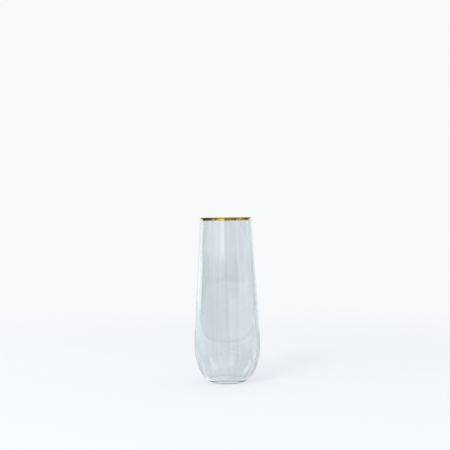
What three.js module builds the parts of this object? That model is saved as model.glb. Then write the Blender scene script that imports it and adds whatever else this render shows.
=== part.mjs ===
// Stemless champagne glass: one thin blown bowl, and a band of gold fired on over its lip.
// Millimetres, +Z up. The origin is the centre of the base, on the plane that the glass stands on.

import * as THREE from "three";

// Outside of the bowl
const HEIGHT = 150; // from the table to the top of the glass lip
const RIM_DIAMETER = 47; // across the outside of the lip
const BELLY_DIAMETER = 60; // across the widest part
const BELLY_HEIGHT = 31; // of the widest part
const SHOULDER_REACH = 23; // height of the curve from the belly up to the straight taper
const BASE_DIAMETER = 35.6; // across the bottom, before its heel is rounded
const BOWL_CUT = 6.8; // how far the bowl's ellipse would reach below the base, which cuts it off
const HEEL_RADIUS = 1.4; // reach of the rounding between bowl and base

// Wall and base
const LIP_WALL = 1.2; // thickness of the fire-polished lip, which is fully round
const BOWL_WALL = 1.3; // thickness at the belly and round the bowl below it
const FLOOR_THICKNESS = 1.6; // height of the inside floor above the table
const FLOOR_BEND = 1.6; // reach of the rounding between the inside of the bowl and that floor
const STANDING_RING = 3.9; // width of the flat ring that the glass stands on
const PUNT_DEPTH = 0.2; // of the shallow hollow inside that ring

// Gold band
const GOLD_THICKNESS = 0.08;
const GOLD_OUTSIDE = 1.75; // how far it runs down the wall below the round lip, outside
const GOLD_INSIDE = 0.3; // the same, inside

// Fineness of the facets
const FACETS_AROUND = 64;
const CHORD_ERROR = 0.03; // how far a facet of a section may lie off its curve

const RIM_RADIUS = RIM_DIAMETER / 2;
const BELLY_RADIUS = BELLY_DIAMETER / 2;
const BASE_RADIUS = BASE_DIAMETER / 2;
const LIP_RADIUS = LIP_WALL / 2;
const SHOULDER_HEIGHT = BELLY_HEIGHT + SHOULDER_REACH;

// Each wall's straight taper runs from a corner, where it would cross the belly's upright tangent.
const CORNER_HEIGHT = BELLY_HEIGHT + SHOULDER_REACH / 2;
const outerCorner = new THREE.Vector2(BELLY_RADIUS, CORNER_HEIGHT);
const innerCorner = new THREE.Vector2(BELLY_RADIUS - BOWL_WALL, CORNER_HEIGHT);
const lipCentre = new THREE.Vector2(RIM_RADIUS - LIP_RADIUS, HEIGHT - LIP_RADIUS);

// The line from a corner that runs tangent into the round lip, or the face of a film that covers it there.
// side is +1 for the outside wall and -1 for the inside one. angle is where the lip's arc takes over.
function wallLine(corner, side, film = 0) {
  const reach = new THREE.Vector2().subVectors(lipCentre, corner);
  const turn = Math.asin(LIP_RADIUS / reach.length());
  const angle = reach.angle() - side * (Math.PI / 2 + turn);
  const outward = new THREE.Vector2(Math.cos(angle), Math.sin(angle));
  const upward = new THREE.Vector2(-outward.y, outward.x).multiplyScalar(side);
  const top = lipCentre.clone().addScaledVector(outward, LIP_RADIUS + film);
  const pointAt = (height) => top.clone().addScaledVector(upward, (height - top.y) / upward.y);
  return { angle, top, pointAt };
}

// Adds the round lip, from the end of the outside wall over the top to the start of the inside wall.
function addLip(path, film = 0) {
  const start = wallLine(outerCorner, 1).angle;
  const end = wallLine(innerCorner, -1).angle;
  path.absarc(lipCentre.x, lipCentre.y, LIP_RADIUS + film, start, end, false);
}

// Adds the shallow hollow under the base, part of a sphere, from its middle out to the standing ring.
function addPunt(path) {
  const edge = BASE_RADIUS - HEEL_RADIUS - STANDING_RING;
  const sphere = (edge ** 2 + PUNT_DEPTH ** 2) / (2 * PUNT_DEPTH);
  path.absarc(0, PUNT_DEPTH - sphere, sphere, Math.PI / 2, Math.acos(edge / sphere), true);
}

// The ellipse that the bowl follows below its belly, or the one that lies a wall's thickness inside it. The base
// plane cuts the outer one short at BASE_RADIUS.
function bowlEllipse(wall = 0) {
  const fullDepth = BELLY_HEIGHT + BOWL_CUT;
  const cutAngle = Math.asin(BELLY_HEIGHT / fullDepth);
  const fullWidth = (BELLY_RADIUS - BASE_RADIUS) / (1 - Math.cos(cutAngle));
  const centre = BELLY_RADIUS - fullWidth;
  const halfWidth = fullWidth - wall;
  const depth = fullDepth - wall;
  const angleAt = (height) => Math.asin((height - BELLY_HEIGHT) / depth);
  const radiusAt = (height) => centre + halfWidth * Math.cos(angleAt(height));
  return { centre, halfWidth, depth, angleAt, radiusAt };
}

// Adds the rounded heel and the outside of the bowl, up to the belly.
function addBowl(path) {
  const { centre, halfWidth, depth, angleAt, radiusAt } = bowlEllipse();
  path.quadraticCurveTo(BASE_RADIUS, 0, radiusAt(HEEL_RADIUS), HEEL_RADIUS);
  path.absellipse(centre, BELLY_HEIGHT, halfWidth, depth, angleAt(HEEL_RADIUS), 0, false);
}

// Adds the inside of the bowl, from the belly down to the middle of the floor.
function addInnerBowl(path) {
  const { centre, halfWidth, depth, angleAt, radiusAt } = bowlEllipse(BOWL_WALL);
  const floorCorner = radiusAt(FLOOR_THICKNESS);
  const bendTop = angleAt(FLOOR_THICKNESS + FLOOR_BEND);
  path.absellipse(centre, BELLY_HEIGHT, halfWidth, depth, 0, bendTop, true);
  path.quadraticCurveTo(floorCorner, FLOOR_THICKNESS, floorCorner - FLOOR_BEND, FLOOR_THICKNESS);
  path.lineTo(0, FLOOR_THICKNESS);
}

// Points along a path, with as many on each curve as keep its facets within CHORD_ERROR of it.
function outline(path) {
  const points = [path.getPoint(0)];
  for (const curve of path.curves) {
    const turn = curve.getTangent(0).angleTo(curve.getTangent(1));
    const steps = Math.sqrt((curve.getLength() * turn) / (8 * CHORD_ERROR));
    points.push(...curve.getPoints(Math.max(1, Math.ceil(steps))).slice(1));
  }
  return points;
}

// Section of the glass, from the middle of the punt out, up, over the lip and down to the middle of the floor.
function glassSection() {
  const section = new THREE.Path();
  addPunt(section);
  section.lineTo(BASE_RADIUS - HEEL_RADIUS, 0);
  addBowl(section);

  const shoulder = wallLine(outerCorner, 1).pointAt(SHOULDER_HEIGHT);
  section.quadraticCurveTo(outerCorner.x, outerCorner.y, shoulder.x, shoulder.y);
  addLip(section);

  const innerShoulder = wallLine(innerCorner, -1).pointAt(SHOULDER_HEIGHT);
  section.lineTo(innerShoulder.x, innerShoulder.y);
  section.quadraticCurveTo(innerCorner.x, innerCorner.y, innerCorner.x, BELLY_HEIGHT);
  addInnerBowl(section);
  return outline(section);
}

// One face of the gold, from its edge on the outside wall over the lip to its edge on the inside wall.
function goldFace(film) {
  const outside = wallLine(outerCorner, 1, film);
  const inside = wallLine(innerCorner, -1, film);
  const outerEdge = outside.pointAt(outside.top.y - GOLD_OUTSIDE);
  const innerEdge = inside.pointAt(inside.top.y - GOLD_INSIDE);
  const face = new THREE.Path();
  face.moveTo(outerEdge.x, outerEdge.y);
  face.lineTo(outside.top.x, outside.top.y);
  addLip(face, film);
  face.lineTo(innerEdge.x, innerEdge.y);
  return outline(face);
}

// Section of the gold: its bright face up and over the lip, then back along the glass, closed on itself.
function goldSection() {
  const brightFace = goldFace(GOLD_THICKNESS);
  const seat = goldFace(0).reverse();
  return [...brightFace, ...seat, brightFace[0].clone()];
}

// A piece turned from its section round the upright axis.
function turnedPiece(name, section, material) {
  const geometry = new THREE.LatheGeometry(section, FACETS_AROUND).rotateX(Math.PI / 2);
  const mesh = new THREE.Mesh(geometry, material);
  mesh.name = name;
  return mesh;
}

const tintedGlass = new THREE.MeshStandardMaterial({
  color: 0xdbe4e9,
  roughness: 0.03,
  metalness: 0,
  transparent: true,
  opacity: 0.35,
});
const firedGold = new THREE.MeshStandardMaterial({ color: 0xd6a63c, roughness: 0.16, metalness: 1 });

const champagneGlass = new THREE.Group();
champagneGlass.add(turnedPiece("glass_bowl", glassSection(), tintedGlass));
champagneGlass.add(turnedPiece("gold_rim_band", goldSection(), firedGold));

export default champagneGlass;
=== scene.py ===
"""Stemless champagne glass of pale lustred glass with a fired gold rim, on a white studio floor."""

import math
from typing import NamedTuple

import bmesh
import bpy
from mathutils import Matrix, Vector


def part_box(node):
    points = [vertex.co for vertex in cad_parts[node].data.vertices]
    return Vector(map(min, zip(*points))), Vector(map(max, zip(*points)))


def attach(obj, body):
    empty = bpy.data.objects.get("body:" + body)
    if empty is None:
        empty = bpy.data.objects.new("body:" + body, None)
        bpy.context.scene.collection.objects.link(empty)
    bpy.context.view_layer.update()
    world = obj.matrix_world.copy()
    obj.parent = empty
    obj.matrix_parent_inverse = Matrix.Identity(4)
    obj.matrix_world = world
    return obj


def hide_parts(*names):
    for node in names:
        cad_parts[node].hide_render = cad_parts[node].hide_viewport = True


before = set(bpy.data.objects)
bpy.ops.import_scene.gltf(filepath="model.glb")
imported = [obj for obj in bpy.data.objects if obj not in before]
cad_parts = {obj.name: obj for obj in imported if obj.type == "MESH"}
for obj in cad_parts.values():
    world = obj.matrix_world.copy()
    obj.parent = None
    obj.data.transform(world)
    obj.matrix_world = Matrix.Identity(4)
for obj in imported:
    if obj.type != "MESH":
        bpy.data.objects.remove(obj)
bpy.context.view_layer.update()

MM = 0.001  # lengths are in metres

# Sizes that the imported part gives
_, GLASS_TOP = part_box("glass_bowl")
GOLD_BOTTOM, GOLD_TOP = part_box("gold_rim_band")
HEIGHT = GLASS_TOP.z
BELLY_RADIUS = GLASS_TOP.x
GOLD_EDGE = GOLD_BOTTOM.z
GOLD_THICKNESS = GOLD_TOP.z - GLASS_TOP.z

# The other driving sizes of the glass, as the part has them
RIM_RADIUS = 23.5 * MM
BELLY_HEIGHT = 31 * MM
SHOULDER_REACH = 23 * MM
BASE_RADIUS = 17.8 * MM
BOWL_CUT = 6.8 * MM
HEEL_RADIUS = 1.4 * MM
LIP_RADIUS = 0.6 * MM
BOWL_WALL = 1.3 * MM
FLOOR_THICKNESS = 1.6 * MM
FLOOR_BEND = 1.6 * MM
STANDING_RING = 3.9 * MM
PUNT_DEPTH = 0.2 * MM
GOLD_INSIDE = 0.3 * MM

# Each wall's straight taper runs from a corner, where it would cross the belly's upright tangent
SHOULDER_HEIGHT = BELLY_HEIGHT + SHOULDER_REACH
CORNER_HEIGHT = BELLY_HEIGHT + SHOULDER_REACH / 2
OUTER_CORNER = Vector((BELLY_RADIUS, CORNER_HEIGHT))
INNER_CORNER = Vector((BELLY_RADIUS - BOWL_WALL, CORNER_HEIGHT))
LIP_CENTRE = Vector((RIM_RADIUS - LIP_RADIUS, HEIGHT - LIP_RADIUS))

# How the gold sits: its back lies a hair inside the glass, and its hand-drawn edges waver
GOLD_BITE = 0.01 * MM
EDGE_WAVER = 0.07 * MM
BRUSH_WAVES = ((0.5, 5, 0), (0.3, 11, 2), (0.2, 23, 1))  # share of the waver, waves in a turn, start

# How many steps each stretch of a section has, and how many a whole turn of it has
PUNT_STEPS = 12
RING_STEPS = 4
HEEL_STEPS = 10
BOWL_STEPS = 48
SHOULDER_STEPS = 12
WALL_STEPS = 40
LIP_STEPS = 24
BEND_STEPS = 20
FLOOR_STEPS = 12
GOLD_OUTSIDE_STEPS = 6
GOLD_INSIDE_STEPS = 4
TURN_STEPS = 192

SHARP_ANGLE = math.radians(35)  # facets that meet at more than this keep a sharp edge
ON_AXIS = 1e-9  # a point nearer the axis than this lies on it


def arc(centre, half_width, half_height, start, end, steps):
    """Points of an elliptical arc in a section, from one angle to another."""
    angles = [start + (end - start) * i / steps for i in range(steps + 1)]
    return [
        Vector((centre.x + half_width * math.cos(a), centre.y + half_height * math.sin(a)))
        for a in angles
    ]


def curve(controls, steps):
    """Points of a Bezier curve in a section."""
    points = []
    for i in range(steps + 1):
        level = list(controls)
        while len(level) > 1:
            level = [a.lerp(b, i / steps) for a, b in zip(level, level[1:])]
        points.append(level[0])
    return points


def line(start, end, steps):
    return [start.lerp(end, i / steps) for i in range(steps + 1)]


class Wall(NamedTuple):
    """A straight wall that runs tangent into the round lip."""

    angle: float  # on the lip's arc, where the wall meets it
    top: Vector  # the point where they meet
    upward: Vector  # the wall's direction


def wall_from(corner, side, film):
    """The wall that starts at a corner, or the face of a film on it. side is 1 outside and -1 inside."""
    reach = LIP_CENTRE - corner
    turn = math.asin(LIP_RADIUS / reach.length)
    angle = math.atan2(reach.y, reach.x) - side * (math.pi / 2 + turn)
    outward = Vector((math.cos(angle), math.sin(angle)))
    top = LIP_CENTRE + outward * (LIP_RADIUS + film)
    upward = Vector((-outward.y, outward.x)) * side
    return Wall(angle, top, upward)


def outside_wall(film=0.0):
    return wall_from(OUTER_CORNER, 1, film)


def inside_wall(film=0.0):
    return wall_from(INNER_CORNER, -1, film)


def point_on(wall, height):
    return wall.top + wall.upward * ((height - wall.top.y) / wall.upward.y)


def lip(film=0.0):
    """The round lip, or the face of a film on it, from the outside wall over to the inside one."""
    radius = LIP_RADIUS + film
    return arc(LIP_CENTRE, radius, radius, outside_wall().angle, inside_wall().angle, LIP_STEPS)


def joined(*stretches):
    """One outline from stretches that follow each other, without the points they share."""
    outline = list(stretches[0])
    for stretch in stretches[1:]:
        outline += stretch[1:]
    return outline


def bowl_arc(lowest, wall):
    """The bowl from its belly down to a height, along its ellipse or one a wall's thickness inside that."""
    depth = BELLY_HEIGHT + BOWL_CUT
    cut = math.asin(BELLY_HEIGHT / depth)
    half_width = (BELLY_RADIUS - BASE_RADIUS) / (1 - math.cos(cut))
    centre = Vector((BELLY_RADIUS - half_width, BELLY_HEIGHT))
    end = math.asin((lowest - BELLY_HEIGHT) / (depth - wall))
    return arc(centre, half_width - wall, depth - wall, 0, end, BOWL_STEPS)


def base_outside():
    """The punt and the flat standing ring, from the axis outwards."""
    ring_outside = BASE_RADIUS - HEEL_RADIUS
    ring_inside = ring_outside - STANDING_RING
    sphere = (ring_inside**2 + PUNT_DEPTH**2) / (2 * PUNT_DEPTH)
    centre = Vector((0, PUNT_DEPTH - sphere))
    punt = arc(centre, sphere, sphere, math.pi / 2, math.acos(ring_inside / sphere), PUNT_STEPS)
    ring = line(Vector((ring_inside, 0)), Vector((ring_outside, 0)), RING_STEPS)
    return joined(punt, ring)


def base_inside():
    """The inside bowl below the belly, the bend at its foot and the floor, to the axis."""
    bowl = bowl_arc(FLOOR_THICKNESS + FLOOR_BEND, BOWL_WALL)
    corner = bowl_arc(FLOOR_THICKNESS, BOWL_WALL)[-1]
    floor_edge = corner - Vector((FLOOR_BEND, 0))
    bend = curve([bowl[-1], corner, floor_edge], BEND_STEPS)
    floor = line(floor_edge, Vector((0, FLOOR_THICKNESS)), FLOOR_STEPS)
    return joined(bowl, bend, floor)


def glass_section():
    """From the middle of the punt out, up, over the lip and down to the middle of the floor."""
    base = base_outside()
    bowl = bowl_arc(HEEL_RADIUS, 0.0)[::-1]
    heel = curve([base[-1], Vector((BASE_RADIUS, 0)), bowl[0]], HEEL_STEPS)
    outside = outside_wall()
    shoulder = curve([bowl[-1], OUTER_CORNER, point_on(outside, SHOULDER_HEIGHT)], SHOULDER_STEPS)
    outer_wall = line(shoulder[-1], outside.top, WALL_STEPS)

    inside = inside_wall()
    inner_wall = line(inside.top, point_on(inside, SHOULDER_HEIGHT), WALL_STEPS)
    belly = Vector((INNER_CORNER.x, BELLY_HEIGHT))
    inner_shoulder = curve([inner_wall[-1], INNER_CORNER, belly], SHOULDER_STEPS)
    outer = joined(base, heel, bowl, shoulder, outer_wall)
    inner = joined(inner_wall, inner_shoulder, base_inside())
    return joined(outer, lip(), inner)


def gold_face(film, outer_height, inner_reach):
    """One face of the gold, from its edge outside over the lip to its edge inside."""
    outside = outside_wall(film)
    inside = inside_wall(film)
    outer_edge = point_on(outside, outer_height)
    inner_edge = point_on(inside, inside.top.y - inner_reach)
    outer_run = line(outer_edge, outside.top, GOLD_OUTSIDE_STEPS)
    inner_run = line(inside.top, inner_edge, GOLD_INSIDE_STEPS)
    return joined(outer_run, lip(film), inner_run)


def waver(turn):
    """How far the brush strayed at an angle round the lip, from -1 to 1."""
    return sum(share * math.sin(waves * turn + start) for share, waves, start in BRUSH_WAVES)


def gold_section(turn):
    """The gold's bright face over the lip and its back against the glass, closed on itself."""
    outer_height = GOLD_EDGE + EDGE_WAVER * waver(turn)
    inner_reach = GOLD_INSIDE + EDGE_WAVER * waver(-turn)
    bright = gold_face(GOLD_THICKNESS, outer_height, inner_reach)
    back = gold_face(-GOLD_BITE, outer_height, inner_reach)
    return bright + back[::-1]


def turned(name, sections, closed):
    """A mesh from one section for each step round the axis. An open section starts and ends on the axis."""
    bm = bmesh.new()
    rings = []
    for points in zip(*sections):
        if abs(points[0].x) < ON_AXIS:
            rings.append([bm.verts.new((0, 0, points[0].y))])
            continue
        ring = []
        for i, point in enumerate(points):
            turn = 2 * math.pi * i / TURN_STEPS
            ring.append(bm.verts.new((point.x * math.cos(turn), point.x * math.sin(turn), point.y)))
        rings.append(ring)
    pairs = list(zip(rings, rings[1:]))
    if closed:
        pairs.append((rings[-1], rings[0]))
    # A ring on the axis has one point, and the faces that meet there have three corners
    for low, high in pairs:
        for i in range(TURN_STEPS):
            j = (i + 1) % TURN_STEPS
            corners = [low[i % len(low)], low[j % len(low)], high[j % len(high)], high[i % len(high)]]
            bm.faces.new(list(dict.fromkeys(corners)))
    bmesh.ops.recalc_face_normals(bm, faces=bm.faces)
    mesh = bpy.data.meshes.new(name)
    bm.to_mesh(mesh)
    bm.free()
    mesh.shade_smooth()
    mesh.set_sharp_from_angle(angle=SHARP_ANGLE)
    piece = bpy.data.objects.new(name, mesh)
    bpy.context.scene.collection.objects.link(piece)
    return piece


def math_node(nodes, links, operation, first, second):
    """A node that works out one sum from two values, each a socket or a number."""
    node = nodes.new("ShaderNodeMath")
    node.operation = operation
    for socket, value in zip(node.inputs, (first, second)):
        if isinstance(value, bpy.types.NodeSocket):
            links.new(value, socket)
        else:
            socket.default_value = value
    return node.outputs[0]


def map_range(nodes, links, value, source, target):
    node = nodes.new("ShaderNodeMapRange")
    node.inputs["From Min"].default_value, node.inputs["From Max"].default_value = source
    node.inputs["To Min"].default_value, node.inputs["To Max"].default_value = target
    links.new(value, node.inputs["Value"])
    return node.outputs["Result"]


def mix_colours(nodes, links, share, first, second):
    """Blends two colours, each a socket or a tuple."""
    node = nodes.new("ShaderNodeMix")
    node.data_type = "RGBA"
    links.new(share, node.inputs["Factor"])
    # The node's sockets for colours come after those for numbers and vectors, under the same names
    for socket, colour in zip((node.inputs[6], node.inputs[7]), (first, second)):
        if isinstance(colour, bpy.types.NodeSocket):
            links.new(colour, socket)
        else:
            socket.default_value = (*colour, 1)
    return node.outputs[2]


def mix_shaders(nodes, links, share, first, second):
    node = nodes.new("ShaderNodeMixShader")
    links.new(share, node.inputs["Fac"])
    links.new(first.outputs[0], node.inputs[1])
    links.new(second.outputs[0], node.inputs[2])
    return node


def streaks(nodes, links, around, upward):
    """Noise in streaks on a round wall: how many fit in a radian round the axis, and in a metre up it."""
    place = nodes.new("ShaderNodeTexCoord")
    flat = nodes.new("ShaderNodeVectorMath")
    flat.operation = "MULTIPLY"
    flat.inputs[1].default_value = (1, 1, 0)
    links.new(place.outputs["Object"], flat.inputs[0])
    outward = nodes.new("ShaderNodeVectorMath")
    outward.operation = "NORMALIZE"
    links.new(flat.outputs[0], outward.inputs[0])
    grain = nodes.new("ShaderNodeVectorMath")
    grain.operation = "MULTIPLY_ADD"
    grain.inputs[1].default_value = (0, 0, upward / around)
    links.new(place.outputs["Object"], grain.inputs[0])
    links.new(outward.outputs[0], grain.inputs[2])
    noise = nodes.new("ShaderNodeTexNoise")
    noise.inputs["Scale"].default_value = around
    links.new(grain.outputs[0], noise.inputs["Vector"])
    return noise.outputs[0]


def new_material(name):
    material = bpy.data.materials.new(name)
    material.use_nodes = True
    nodes = material.node_tree.nodes
    return material, nodes, material.node_tree.links, nodes["Principled BSDF"]


# Lustred glass: it mirrors more than plain glass does, and the lustre tints what shows through
GLASS_IOR = 1.65
LUSTRE_THIN = (0.883, 0.918, 0.928)
LUSTRE_THICK = (0.827, 0.868, 0.884)
LUSTRE_STREAKS = (17, 8)  # how many in a radian round the axis, and in a metre up it
LUSTRE_NOISE = (0.32, 0.68)  # the noise where the lustre is thin, and where it is thick
# painted dark outline: the tint turns to this where an upright wall is seen edge-on
EDGE_SHADE_TINT = (0.42, 0.49, 0.55)
EDGE_FACING = (0.66, 0.95)  # how far a wall turns from the eye where its painted edge shade starts, and is full
LEVEL_NORMAL = (0.95, 0.70)  # the upward part of a normal where a wall counts as level, and as upright
LIGHT_THROUGH = (0.93, 0.94, 0.95)  # share of the lamp's light that passes each wall's face


def painted_edge_shade(nodes, links):
    """Painted dark outline: 1 where an upright wall is seen edge-on, and 0 where it faces the eye or lies
    level.
    """
    weight = nodes.new("ShaderNodeLayerWeight")
    along = map_range(nodes, links, weight.outputs["Facing"], EDGE_FACING, (0, 1))
    place = nodes.new("ShaderNodeNewGeometry")
    axes = nodes.new("ShaderNodeSeparateXYZ")
    links.new(place.outputs["True Normal"], axes.inputs[0])
    tilt = math_node(nodes, links, "ABSOLUTE", axes.outputs["Z"], 0.0)
    upright = map_range(nodes, links, tilt, LEVEL_NORMAL, (0, 1))
    return math_node(nodes, links, "MULTIPLY", along, upright)


def glass_material():
    """Clear glass whose lustre lies in faint upright streaks, with a painted dark outline. The lamp's light
    passes straight through.
    """
    material, nodes, links, glass = new_material("lustred_glass")
    glass.inputs["Transmission Weight"].default_value = 1.0
    glass.inputs["IOR"].default_value = GLASS_IOR
    glass.inputs["Roughness"].default_value = 0.0
    drawn = map_range(nodes, links, streaks(nodes, links, *LUSTRE_STREAKS), LUSTRE_NOISE, (0, 1))
    lustre = mix_colours(nodes, links, drawn, LUSTRE_THIN, LUSTRE_THICK)
    # the tint turns dark where an upright wall is seen edge-on: a painted dark outline
    lustre_and_edge_shade = mix_colours(nodes, links, painted_edge_shade(nodes, links), lustre, EDGE_SHADE_TINT)
    links.new(lustre_and_edge_shade, glass.inputs["Base Color"])

    path = nodes.new("ShaderNodeLightPath")
    shadow, diffuse = path.outputs["Is Shadow Ray"], path.outputs["Is Diffuse Ray"]
    lighting = math_node(nodes, links, "MAXIMUM", shadow, diffuse)
    clear = nodes.new("ShaderNodeBsdfTransparent")
    clear.inputs["Color"].default_value = (*LIGHT_THROUGH, 1)
    mix = mix_shaders(nodes, links, lighting, glass, clear)
    links.new(mix.outputs[0], nodes["Material Output"].inputs["Surface"])
    return material


# Fired gold: brushed on round the lip, a little thinner and browner in places
GOLD_FULL = (0.93, 0.71, 0.10)
GOLD_THIN = (0.86, 0.62, 0.08)
GOLD_PATCHES = (6, 400)
PATCH_NOISE = (0.35, 0.65)
BRUSH_MARKS = (5, 6000)
BRUSH_NOISE = (0.3, 0.7)
GOLD_ROUGHNESS = (0.02, 0.08)


def gold_material():
    material, nodes, links, gold = new_material("fired_gold")
    gold.inputs["Metallic"].default_value = 1.0
    patches = map_range(nodes, links, streaks(nodes, links, *GOLD_PATCHES), PATCH_NOISE, (0, 1))
    links.new(mix_colours(nodes, links, patches, GOLD_FULL, GOLD_THIN), gold.inputs["Base Color"])
    brushed = map_range(nodes, links, streaks(nodes, links, *BRUSH_MARKS), BRUSH_NOISE, GOLD_ROUGHNESS)
    links.new(brushed, gold.inputs["Roughness"])
    return material


def make_glass():
    glass = turned("lustred_glass_bowl", [glass_section()] * TURN_STEPS, closed=False)
    glass.data.materials.append(glass_material())
    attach(glass, "root")
    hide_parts("glass_bowl")


def make_gold():
    gold_sections = [gold_section(2 * math.pi * i / TURN_STEPS) for i in range(TURN_STEPS)]
    gold = turned("fired_gold_band", gold_sections, closed=True)
    gold.data.materials.append(gold_material())
    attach(gold, "root")
    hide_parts("gold_rim_band")


# Camera, as the photograph's perspective gives it
CAMERA_DISTANCE = 854.9 * MM
CAMERA_HEIGHT = 156.8 * MM
CAMERA_ASIDE = -0.68 * MM
CAMERA_PITCH = math.radians(0.899)
CAMERA_ROLL = math.radians(0.76)
CAMERA_LENS = 74.53
CAMERA_SENSOR = 36


def make_camera():
    data = bpy.data.cameras.new("camera")
    data.lens = CAMERA_LENS
    data.sensor_width = CAMERA_SENSOR
    camera = bpy.data.objects.new("camera", data)
    bpy.context.scene.collection.objects.link(camera)
    place = Matrix.Translation((CAMERA_ASIDE, -CAMERA_DISTANCE, CAMERA_HEIGHT))
    tilt = Matrix.Rotation(math.pi / 2 - CAMERA_PITCH, 4, "X")
    roll = Matrix.Rotation(-CAMERA_ROLL, 4, "Z")
    camera.matrix_world = place @ tilt @ roll
    bpy.context.scene.camera = camera


# Studio floor: paper near the glass, which keeps its shadow, and the plain backdrop's colour further off
BACKGROUND = (0.935, 0.944, 0.962, 1)
PAPER_COLOUR = (0.935, 0.950, 0.970, 1)
PAPER_ROUGHNESS = 0.9
PAPER_SHEEN = 0.1
FLOOR_DROP = 0.2 * MM  # below the base, which leaves room for the discs that the glass mirrors
FLOOR_REACH = 8.0
PLAIN_FROM = 0.20  # how far from the axis the backdrop's colour starts
PLAIN_FULL = 0.70  # and where it is full


def sheet(name, corners, faces, material):
    """A piece of the stage."""
    mesh = bpy.data.meshes.new(name)
    mesh.from_pydata(corners, [], faces)
    mesh.materials.append(material)
    piece = bpy.data.objects.new(name, mesh)
    bpy.context.scene.collection.objects.link(piece)
    return piece


def square(reach, height):
    """Corners of a level square, and its one face."""
    sides = ((-1, -1), (1, -1), (1, 1), (-1, 1))
    return [(x * reach, y * reach, height) for x, y in sides], [(0, 1, 2, 3)]


def has_met(nodes, links, bounce):
    """1 for a ray that was mirrored (Glossy) or passed into glass (Transmission), and 0 for others."""
    path = nodes.new("ShaderNodeLightPath")
    return math_node(nodes, links, "GREATER_THAN", path.outputs[f"{bounce} Depth"], 0.5)


def plain_share(nodes, links):
    """0 on the floor round the glass, and 1 far off where the camera sees it, also through the glass."""
    place = nodes.new("ShaderNodeNewGeometry")
    away = nodes.new("ShaderNodeVectorMath")
    away.operation = "LENGTH"
    links.new(place.outputs["Position"], away.inputs[0])
    fade = map_range(nodes, links, away.outputs["Value"], (PLAIN_FROM, PLAIN_FULL), (0, 1))
    fade.node.interpolation_type = "SMOOTHSTEP"
    path = nodes.new("ShaderNodeLightPath")
    straight, through = path.outputs["Is Camera Ray"], path.outputs["Is Transmission Ray"]
    seen = math_node(nodes, links, "MAXIMUM", straight, through)
    return math_node(nodes, links, "MULTIPLY", seen, fade)


def emission(nodes, colour):
    node = nodes.new("ShaderNodeEmission")
    node.inputs["Color"].default_value = colour
    return node


def paper_material():
    """White paper near the glass, and the plain backdrop further off."""
    material, nodes, links, paper = new_material("white_paper")
    material.cycles.emission_sampling = "NONE"
    paper.inputs["Base Color"].default_value = PAPER_COLOUR
    paper.inputs["Roughness"].default_value = PAPER_ROUGHNESS
    paper.inputs["Specular IOR Level"].default_value = PAPER_SHEEN
    seen = mix_shaders(nodes, links, plain_share(nodes, links), paper, emission(nodes, BACKGROUND))
    links.new(seen.outputs[0], nodes["Material Output"].inputs["Surface"])
    return material


def make_floor():
    sheet("floor", *square(FLOOR_REACH, -FLOOR_DROP), paper_material())


# What the glass and the gold mirror: glowing screens that stand for the table and the room, their strips
# painted with its light and shade. They show only to rays that were mirrored, so they light nothing and
# throw no shadow.
# The window shows only to rays that passed into the glass. Every reach is from the axis.
TABLE_REACH = 0.42
TABLE_NEAR_REACH = 90 * MM
HEEL_RING_REACH = 22 * MM
TABLE_EDGE = 10 * MM  # height of the table's edge
TABLE_EDGE_RISE = 14 * MM  # how much higher that edge is at the sides, to look further off
NEAR_MIDDLE = 55 * MM  # height where the low screen behind the edge gives way to the high one
NEAR_LEVEL = 84 * MM  # height on the glass that mirrors the high one's top
ROOM_REACH = 1.2
DARK_LEVEL = 119 * MM  # height on the glass that mirrors the top of the walls' dark part
GOLD_LEVEL = GOLD_EDGE - 1.0 * MM  # height on the glass that mirrors the foot of what the gold shows
GOLD_SPAN = 0.14  # height of the part of the walls that the gold shows
CEILING = 1.3
WINDOW_REACH = 1.1
WINDOW_SILL = 0.27
WINDOW_TOP = 0.9

# Width of each screen's soft top or rim
TABLE_MIDDLE_SOFT = 50 * MM
TABLE_NEAR_SOFT = 40 * MM
EDGE_SOFT = 2 * MM
NEAR_LOW_SOFT = 20 * MM
NEAR_HIGH_SOFT = 12 * MM
DARK_SOFT = 30 * MM
GILT_SOFT = 20 * MM
WINDOW_SOFT = 20 * MM
SHARP = 1 * MM  # of the others, which end in a line

# How the screens are made
BRIGHTEST = 2.5  # brightness that the full white of a screen's strips stands for
GLOW_TINT = (0.97, 1.0, 1.03)
STRIP_BLUR = 3.0  # width in degrees of the blurred edge between two strips
SCREEN_GAP = 2 * MM  # each screen of a stack stands this much further off than the one below
DISC_GAP = 0.04 * MM  # each disc lies this much above the one before
SCREEN_STEPS = 120

# Each screen has strips: the bearing in degrees where a strip starts, counted from the camera to its left,
# and its brightness. The last bearing only ends the screen.

# The table, in discs that lie round the glass
TABLE = ((-180, 0.9), (-130, 0.65), (-95, 1.05), (90, 0.95), (108, 1.2), (142, 0.9), (180, None))
TABLE_MIDDLE = ((-180, 0.6), (-150, 0.8), (-90, 0.7), (10, 0.85), (90, 0.95), (153, 0.55), (180, None))
TABLE_NEAR = ((-180, 0.7), (-95, 0.9), (-50, 1.0), (-10, 1.2), (50, 1.1), (95, 0.7), (180, None))
# a brighter ring of painted light under the heel, which lightens the base that mirrors it
HEEL_RING = ((-180, 1.3), (-40, 1.0), (40, 1.6), (180, None))

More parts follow.
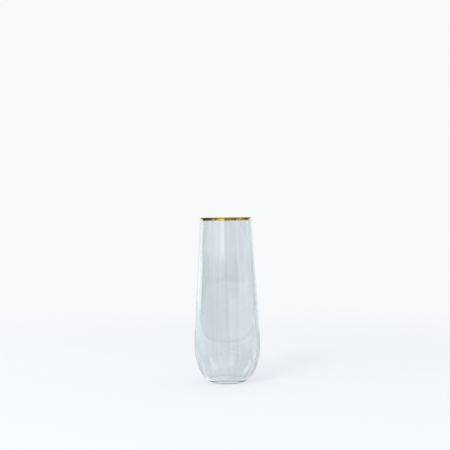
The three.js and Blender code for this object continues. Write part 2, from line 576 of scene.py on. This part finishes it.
# Upright screens at the table's edge, and then at the walls of the room
EDGE = ((-108, 0.4), (-45, 0.05), (40, 0.3), (92, None))
NEAR_LOW = ((-108, 0.75), (-4, 0.45), (3, 0.7), (20, 0.5), (118, None))
NEAR_HIGH = ((-108, 0.6), (-4, 0.1), (3, 0.45), (20, 0.25), (92, None))
DARK = (
    (-180, 0.9), (-135, 0.4), (-95, 0.8), (-50, 0.17), (8, 0.4),
    (25, 0.25), (70, 0.02), (112, 1.5), (146, 0.95), (180, None),
)
UPPER = (
    (-180, 0.93), (-135, 0.6), (-95, 0.85), (-48, 0.7), (8, 1.8),
    (22, 1.2), (42, 0.85), (85, 0.5), (118, 1.3), (146, 0.92), (180, None),
)
GILT = (
    (-180, 1.0), (-125, 0.15), (-95, 0.28), (-48, 0.08), (-22, 0.25), (-3, 0.1), (6, 0.8),
    (25, 0.5), (41, 0.1), (49, 0.4), (63, 0.02), (125, 1.0), (180, None),
)
HIGH = ((-180, 0.03), (-80, 2.0), (-68, 0.5), (6, 1.1), (36, 0.03), (180, None))
WINDOW = ((102, 1.9), (126, None))
OVERHEAD = ((-180, 0.25), (180, None))


# The top or foot of a screen is a function that gives its height at a bearing in radians
def level_edge(height):
    return lambda bearing: height


def table_end(bearing):
    """Height of the foot of the table's edge, which rises to the sides."""
    return TABLE_EDGE_RISE * (1 - math.cos(bearing)) ** 2


def mirrored_edge(level, reach):
    """An edge on a screen that the tapering wall, at one level all round, mirrors to the camera."""
    taper = math.atan2(BELLY_RADIUS - RIM_RADIUS, HEIGHT - LIP_RADIUS - CORNER_HEIGHT)
    drop = math.atan2(CAMERA_HEIGHT - level, CAMERA_DISTANCE)

    def height(bearing):
        facing = math.cos(bearing / 2)
        away = reach - RIM_RADIUS * facing
        return level + away * math.tan(2 * taper * facing - drop)

    return height


def raised(edge, by):
    return lambda bearing: edge(bearing) + by


def strip_light(nodes, links, strips):
    """Brightness, as a share of BRIGHTEST, by the bearing from the upright axis, with blurred edges."""
    place = nodes.new("ShaderNodeNewGeometry")
    axes = nodes.new("ShaderNodeSeparateXYZ")
    links.new(place.outputs["Position"], axes.inputs[0])
    left = math_node(nodes, links, "MULTIPLY", axes.outputs["X"], -1.0)
    ahead = math_node(nodes, links, "MULTIPLY", axes.outputs["Y"], -1.0)
    bearing = math_node(nodes, links, "ARCTAN2", left, ahead)
    ramp = nodes.new("ShaderNodeValToRGB")
    links.new(map_range(nodes, links, bearing, (-math.pi, math.pi), (0, 1)), ramp.inputs[0])
    # A ramp comes with two stops of its own, and the last of them can go only when there are others
    stops = ramp.color_ramp.elements
    stops.remove(stops[1])
    for (first, light), (last, _) in zip(strips, strips[1:]):
        level = light / BRIGHTEST
        for degrees in (first + STRIP_BLUR / 2, last - STRIP_BLUR / 2):
            stops.new(degrees / 360 + 0.5).color = (*[level * part for part in GLOW_TINT], 1)
    stops.remove(stops[0])
    return ramp.outputs["Color"]


def mirrored_glow(name, strips, bounce):
    """A glow for rays that have met a bounce, as far as the sheet's fade lets it. Others pass through."""
    material, nodes, links, unused = new_material(name)
    nodes.remove(unused)
    material.cycles.emission_sampling = "NONE"
    clear = nodes.new("ShaderNodeBsdfTransparent")
    glow = nodes.new("ShaderNodeEmission")
    glow.inputs["Strength"].default_value = BRIGHTEST
    links.new(strip_light(nodes, links, strips), glow.inputs["Color"])
    fade = nodes.new("ShaderNodeAttribute")
    fade.attribute_name = "fade"
    share = math_node(nodes, links, "MULTIPLY", has_met(nodes, links, bounce), fade.outputs["Fac"])
    mix = mix_shaders(nodes, links, share, clear, glow)
    links.new(mix.outputs[0], nodes["Material Output"].inputs["Surface"])
    return material


def sweep_screen(name, rows_at, strips, bounce="Glossy"):
    """A screen swept round the axis. rows_at gives the reach, height and fade of its rows at a bearing."""
    first, last = math.radians(strips[0][0]), math.radians(strips[-1][0])
    corners = []
    fades = []
    for i in range(SCREEN_STEPS + 1):
        bearing = first + (last - first) * i / SCREEN_STEPS
        for reach, height, fade in rows_at(bearing):
            corners.append((-reach * math.sin(bearing), -reach * math.cos(bearing), height))
            fades.append(fade)
    rows = len(corners) // (SCREEN_STEPS + 1)
    starts = [i * rows + row for i in range(SCREEN_STEPS) for row in range(rows - 1)]
    faces = [(start, start + 1, start + rows + 1, start + rows) for start in starts]
    screen = sheet(name, corners, faces, mirrored_glow(name, strips, bounce))
    attribute = screen.data.attributes.new("fade", "FLOAT", "POINT")
    attribute.data.foreach_set("value", fades)
    screen.visible_camera = False
    screen.visible_diffuse = False
    screen.visible_shadow = False


def upright_rows(reach, bottom, top, soft):
    """Rows of an upright screen that fades out at its top."""
    return lambda bearing: (
        (reach, bottom(bearing), 1.0),
        (reach, top(bearing) - soft, 1.0),
        (reach, top(bearing), 0.0),
    )


def level_rows(reach, height, soft):
    """Rows of a level disc that fades out at its rim."""
    return lambda bearing: ((0.0, height, 1.0), (reach - soft, height, 1.0), (reach, height, 0.0))


def stack_screens(reach, bottom, screens):
    """Upright screens, one above another. Each starts behind the soft top of the one below it."""
    for i, (name, top, soft, strips) in enumerate(screens):
        sweep_screen(name, upright_rows(reach + i * SCREEN_GAP, bottom, top, soft), strips)
        bottom = raised(top, -soft)


def lay_discs(discs):
    """Level screens on the floor, each smaller than the one it lies on."""
    for i, (name, reach, soft, strips) in enumerate(discs):
        height = (i + 1) * DISC_GAP - FLOOR_DROP
        sweep_screen(name, level_rows(reach, height, soft), strips)


def make_room():
    discs = (
        ("table", ROOM_REACH, SHARP, TABLE),
        ("table_middle", TABLE_REACH, TABLE_MIDDLE_SOFT, TABLE_MIDDLE),
        ("table_near", TABLE_NEAR_REACH, TABLE_NEAR_SOFT, TABLE_NEAR),
        ("heel_ring", HEEL_RING_REACH, SHARP, HEEL_RING),
    )
    lay_discs(discs)

    near_screens = (
        ("table_edge", raised(table_end, TABLE_EDGE), EDGE_SOFT, EDGE),
        ("near_low", level_edge(NEAR_MIDDLE), NEAR_LOW_SOFT, NEAR_LOW),
        ("near_high", mirrored_edge(NEAR_LEVEL, TABLE_REACH), NEAR_HIGH_SOFT, NEAR_HIGH),
    )
    stack_screens(TABLE_REACH, table_end, near_screens)

    upper_top = mirrored_edge(GOLD_LEVEL, ROOM_REACH)
    far_screens = (
        ("dark", mirrored_edge(DARK_LEVEL, ROOM_REACH), DARK_SOFT, DARK),
        ("upper", upper_top, SHARP, UPPER),
        ("gilt", raised(upper_top, GOLD_SPAN), GILT_SOFT, GILT),
        ("high", level_edge(CEILING), SHARP, HIGH),
    )
    stack_screens(ROOM_REACH, level_edge(0.0), far_screens)
    sweep_screen("ceiling", level_rows(ROOM_REACH, CEILING, SHARP), OVERHEAD)

    window = upright_rows(WINDOW_REACH, level_edge(WINDOW_SILL), level_edge(WINDOW_TOP), WINDOW_SOFT)
    sweep_screen("window", window, WINDOW, bounce="Transmission")


# Light: an even world and one soft lamp at the front left
WORLD_LIGHT = (0.955, 0.985, 1.02, 1)
WORLD_STRENGTH = 0.735
LAMP_PLACE = (-2.85, -4.35, 3.6)
LAMP_AIM = (0, 0, 0.06)
LAMP_SIZE = 2.4
LAMP_WATTS = 205
LAMP_COLOUR = (1.0, 0.95, 0.90)


def make_world():
    """The backdrop's colour where the camera, metal and glass see it, and a plain level of light if not."""
    world = bpy.data.worlds.new("studio")
    bpy.context.scene.world = world
    world.use_nodes = True
    nodes, links = world.node_tree.nodes, world.node_tree.links
    light = nodes["Background"]
    light.inputs["Color"].default_value = WORLD_LIGHT
    light.inputs["Strength"].default_value = WORLD_STRENGTH
    backdrop = nodes.new("ShaderNodeBackground")
    backdrop.inputs["Color"].default_value = BACKGROUND
    path = nodes.new("ShaderNodeLightPath")
    mirrored, through = path.outputs["Is Glossy Ray"], path.outputs["Is Transmission Ray"]
    shown = math_node(nodes, links, "MAXIMUM", mirrored, through)
    seen = math_node(nodes, links, "MAXIMUM", path.outputs["Is Camera Ray"], shown)
    mix = mix_shaders(nodes, links, seen, light, backdrop)
    links.new(mix.outputs[0], nodes["World Output"].inputs["Surface"])


def make_lamp():
    data = bpy.data.lights.new("lamp", "AREA")
    data.size = LAMP_SIZE
    data.energy = LAMP_WATTS
    data.color = LAMP_COLOUR
    lamp = bpy.data.objects.new("lamp", data)
    bpy.context.scene.collection.objects.link(lamp)
    lamp.location = LAMP_PLACE
    lamp.rotation_euler = (Vector(LAMP_AIM) - Vector(LAMP_PLACE)).to_track_quat("-Z", "Y").to_euler()
    lamp.visible_camera = False
    lamp.visible_glossy = False


# Enough bounces for the light that runs along inside the glass
GLASS_BOUNCES = 32
MIRROR_BOUNCES = 16


def set_light_paths():
    """Many bounces, and no blur on what a mirror shows."""
    cycles = bpy.context.scene.cycles
    cycles.max_bounces = GLASS_BOUNCES
    cycles.transmission_bounces = GLASS_BOUNCES
    cycles.glossy_bounces = MIRROR_BOUNCES
    cycles.blur_glossy = 0


make_glass()
make_gold()
make_camera()
make_floor()
make_room()
make_world()
make_lamp()
set_light_paths()
bpy.context.scene.view_settings.view_transform = "Standard"
